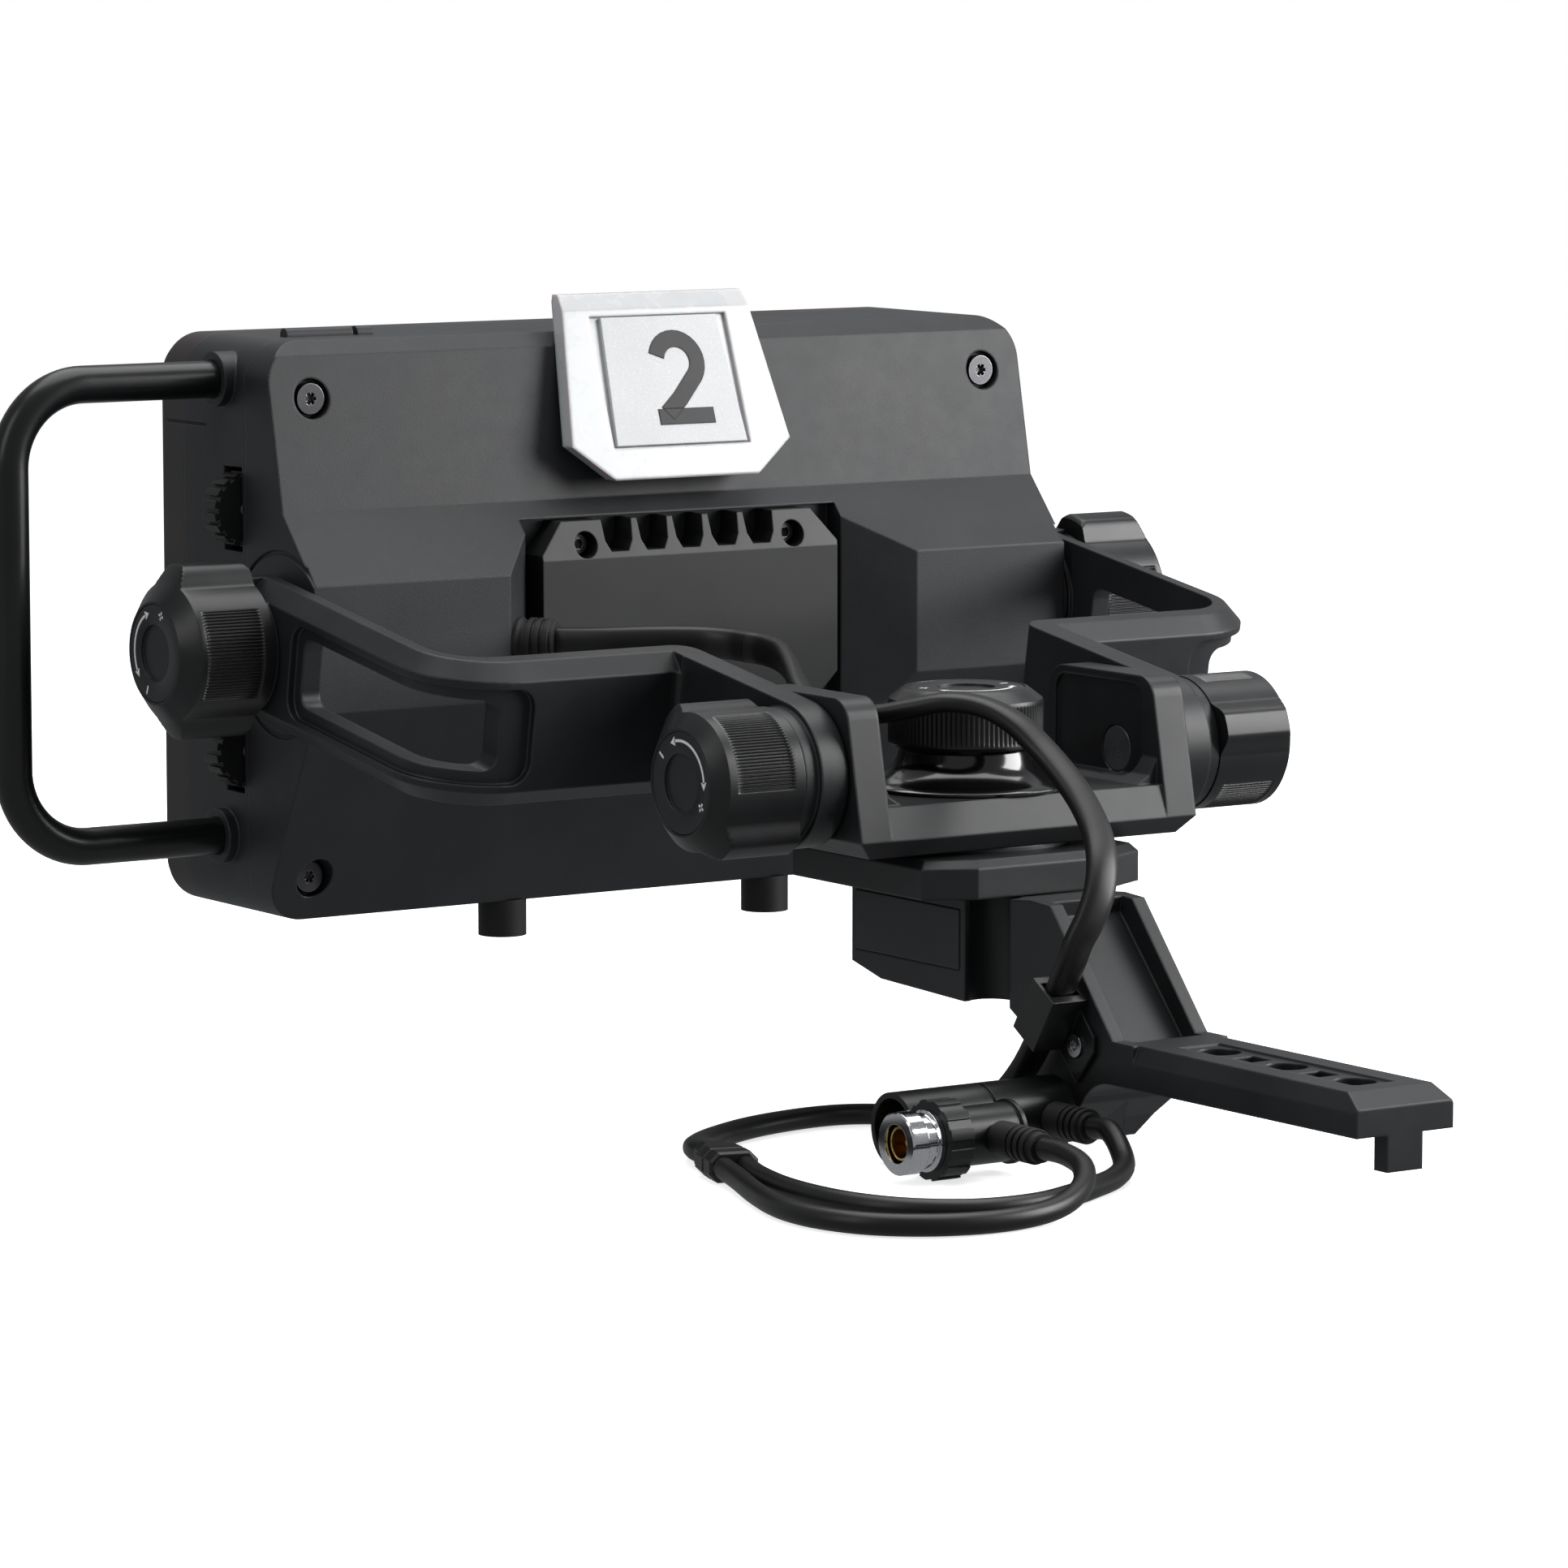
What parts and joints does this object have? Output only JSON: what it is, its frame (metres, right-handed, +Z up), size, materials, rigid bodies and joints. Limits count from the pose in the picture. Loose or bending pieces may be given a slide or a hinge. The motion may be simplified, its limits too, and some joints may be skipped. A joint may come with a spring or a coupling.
{
  "type": "studio monitor viewfinder on pan and tilt bracket",
  "caption": "Flat studio viewfinder display hung between slotted Z-shaped link arms, with friction knobs, a panning yoke, a clawed foot bracket and a split signal and power cable.",
  "frame": {"origin": "axis of the middle screw hole of the foot bar, at the bar's underside", "axes": "+Y from the display towards the foot's free end, the way the tally lamp faces; +Z up; +X to the operator's right, the side of the grab handle"},
  "size_m": [0.357, 0.395, 0.208],
  "materials": {
    "black_alloy": "black anodised, fine bead-blasted grain, satin edges",
    "release_black": "black anodised, brushed face",
    "clip_black": "black satin moulding",
    "bright_steel": "bright zinc plated",
    "stud_steel": "turned steel",
    "washer": "grey acetal friction washer",
    "dish_gloss": "polished black",
    "knob_black": "black satin, ribbed grip",
    "cap_black": "black satin with printed white turn marks",
    "bezel": "warm dark grey, fine texture, black front edge",
    "screen_glass": "dark coated glass, display switched off",
    "lcd": "display panel behind the glass",
    "housing": "charcoal, fine textured powder coat",
    "board": "green circuit board",
    "dark_screw": "black oxide steel",
    "vent": "black anodised, fine grain",
    "tally_lens": "milky translucent diffuser",
    "tally_label": "pale grey plate",
    "handle_black": "black satin tube",
    "wheel_black": "black notched rim",
    "pot_metal": "grey control housings on a carrier board",
    "button": "charcoal moulded",
    "rubber": "matte black rubber",
    "cable_jacket": "matte black jacket",
    "splitter": "black moulded body",
    "plug_black": "black satin",
    "plug_chrome": "bright nickel plated",
    "gold": "gold plated contacts"
  },
  "bodies": {
    "foot": {"foot_bracket": "black_alloy", "cable_clip": "clip_black", "clip_screw": "bright_steel", "pan_base": "black_alloy", "pan_washer": "washer", "pan_bolt": "stud_steel", "floor_lead": "cable_jacket", "y_splitter": "splitter", "bnc_lead": "cable_jacket", "power_lead": "cable_jacket", "bnc_elbow": "plug_black", "bnc_boot": "rubber", "bnc_contacts": "gold", "power_shell": "plug_black", "power_boot": "rubber", "power_pins": "gold"},
    "release": {"quick_release": "release_black"},
    "bnc_ring": {"bnc_collar": "plug_black", "bnc_sleeve": "plug_chrome"},
    "yoke": {"yoke": "black_alloy", "pivot_bolts": "stud_steel", "friction_dish": "dish_gloss", "pan_lead": "cable_jacket"},
    "pan_knob": {"pan_knob": "knob_black", "pan_knob_cap": "cap_black"},
    "arms": {"link_arm_left": "black_alloy", "link_arm_right": "black_alloy", "arm_lead": "cable_jacket"},
    "pivot_knob_left": {"pivot_knob_left": "knob_black", "pivot_cap_left": "cap_black"},
    "pivot_knob_right": {"pivot_knob_right": "knob_black", "pivot_cap_right": "cap_black"},
    "display": {"front_bezel": "bezel", "screen_glass": "screen_glass", "lcd_panel": "lcd", "mid_body": "housing", "main_board": "board", "rear_cover": "housing", "cover_screws": "dark_screw", "vent_plate": "vent", "vent_screws": "dark_screw", "tally_lens": "tally_lens", "tally_label": "tally_label", "tally_board": "board", "handle": "handle_black", "control_pots": "pot_metal", "rubber_feet": "rubber", "cable_gland": "rubber", "tilt_studs": "stud_steel", "tilt_washers": "washer", "tilt_lead": "cable_jacket"},
    "tilt_knob_left": {"tilt_knob_left": "knob_black", "tilt_cap_left": "cap_black"},
    "tilt_knob_right": {"tilt_knob_right": "knob_black", "tilt_cap_right": "cap_black"},
    "brightness_wheel": {"brightness_wheel": "wheel_black"},
    "contrast_wheel": {"contrast_wheel": "wheel_black"},
    "peaking_wheel": {"peaking_wheel": "wheel_black"},
    "long_button": {"long_button": "button"},
    "short_button": {"short_button": "button"}
  },
  "joints": [
    {"name": "pan", "type": "hinge", "parent": "foot", "child": "yoke", "pos_m": [0, -0.137, 0.053], "axis": [0, 0, 1], "range_deg": [-45, 45], "deforming": ["pan_lead"]},
    {"name": "pan_knob_turn", "type": "hinge", "parent": "foot", "child": "pan_knob", "pos_m": [0, -0.137, 0.081], "axis": [0, 0, 1], "range_deg": [0, 180]},
    {"name": "release_push", "type": "slide", "parent": "foot", "child": "release", "axis": [-1, 0, 0], "range_m": [0, 0.0018], "stiffness_N_per_m": 900, "springref_m": -0.001},
    {"name": "bnc_ring_turn", "type": "hinge", "parent": "foot", "child": "bnc_ring", "pos_m": [0.0659, -0.05, -0.0087], "axis": [1, 0, 0], "range_deg": [0, 90]},
    {"name": "arm_lift", "type": "hinge", "parent": "yoke", "child": "arms", "pos_m": [0, -0.1316, 0.0735], "axis": [1, 0, 0], "range_deg": [-45, 25], "deforming": ["arm_lead"]},
    {"name": "pivot_knob_left_turn", "type": "hinge", "parent": "yoke", "child": "pivot_knob_left", "pos_m": [0.0664, -0.1316, 0.0735], "axis": [1, 0, 0], "range_deg": [0, 180]},
    {"name": "pivot_knob_right_turn", "type": "hinge", "parent": "yoke", "child": "pivot_knob_right", "pos_m": [-0.0664, -0.1316, 0.0735], "axis": [-1, 0, 0], "range_deg": [0, 180]},
    {"name": "head_tilt", "type": "hinge", "parent": "arms", "child": "display", "pos_m": [0, -0.28062, 0.0979], "axis": [1, 0, 0], "range_deg": [-45, 60], "deforming": ["tilt_lead"]},
    {"name": "tilt_knob_left_turn", "type": "hinge", "parent": "display", "child": "tilt_knob_left", "pos_m": [0.1364, -0.28062, 0.0979], "axis": [1, 0, 0], "range_deg": [0, 180]},
    {"name": "tilt_knob_right_turn", "type": "hinge", "parent": "display", "child": "tilt_knob_right", "pos_m": [-0.1364, -0.28062, 0.0979], "axis": [-1, 0, 0], "range_deg": [0, 180]},
    {"name": "brightness_turn", "type": "hinge", "parent": "display", "child": "brightness_wheel", "pos_m": [0.122, -0.3055, 0.133], "axis": [0, 1, 0], "range_deg": [-140, 140]},
    {"name": "contrast_turn", "type": "hinge", "parent": "display", "child": "contrast_wheel", "pos_m": [0.122, -0.3055, 0.1], "axis": [0, 1, 0], "range_deg": [-140, 140]},
    {"name": "peaking_turn", "type": "hinge", "parent": "display", "child": "peaking_wheel", "pos_m": [0.122, -0.3055, 0.067], "axis": [0, 1, 0], "range_deg": [-140, 140]},
    {"name": "long_button_press", "type": "slide", "parent": "display", "child": "long_button", "axis": [0, 0, -1], "range_m": [0, 0.0008], "stiffness_N_per_m": 800, "springref_m": -0.001},
    {"name": "short_button_press", "type": "slide", "parent": "display", "child": "short_button", "axis": [0, 0, -1], "range_m": [0, 0.0008], "stiffness_N_per_m": 800, "springref_m": -0.001}
  ]
}
